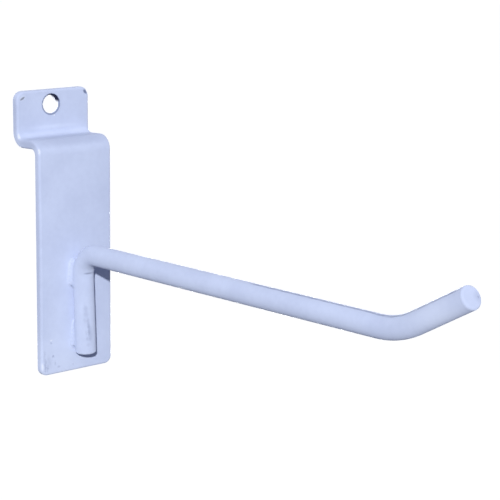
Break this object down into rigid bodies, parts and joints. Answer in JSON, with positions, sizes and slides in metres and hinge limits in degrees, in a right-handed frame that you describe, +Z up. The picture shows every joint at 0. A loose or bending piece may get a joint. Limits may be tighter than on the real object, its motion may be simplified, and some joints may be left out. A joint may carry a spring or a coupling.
{
  "type": "slatwall hook",
  "caption": "Painted steel slatwall hook: a folded back plate with a tongue for the slat's groove, and a round arm welded on, upturned at its end.",
  "frame": {"origin": "on the back plate's back face, on its centreline, level with the arm's axis at the leg", "axes": "+X across the plate, to the right as the hook is seen from the front; +Y into the wall; +Z up. The arm points along -Y."},
  "size_m": [0.025, 0.1648, 0.0811],
  "materials": {
    "plate_paint": "pale lavender blue gloss paint on folded flat steel, softly rounded edges",
    "bar_paint": "pale lavender blue gloss paint on bent round steel",
    "weld_paint": "pale lavender blue gloss paint over rippled weld beads"
  },
  "bodies": {
    "root": {"back_plate": "plate_paint", "hook_rod": "bar_paint", "weld_upper_left": "weld_paint", "weld_upper_right": "weld_paint", "weld_lower_left": "weld_paint", "weld_lower_right": "weld_paint"}
  },
  "joints": []
}
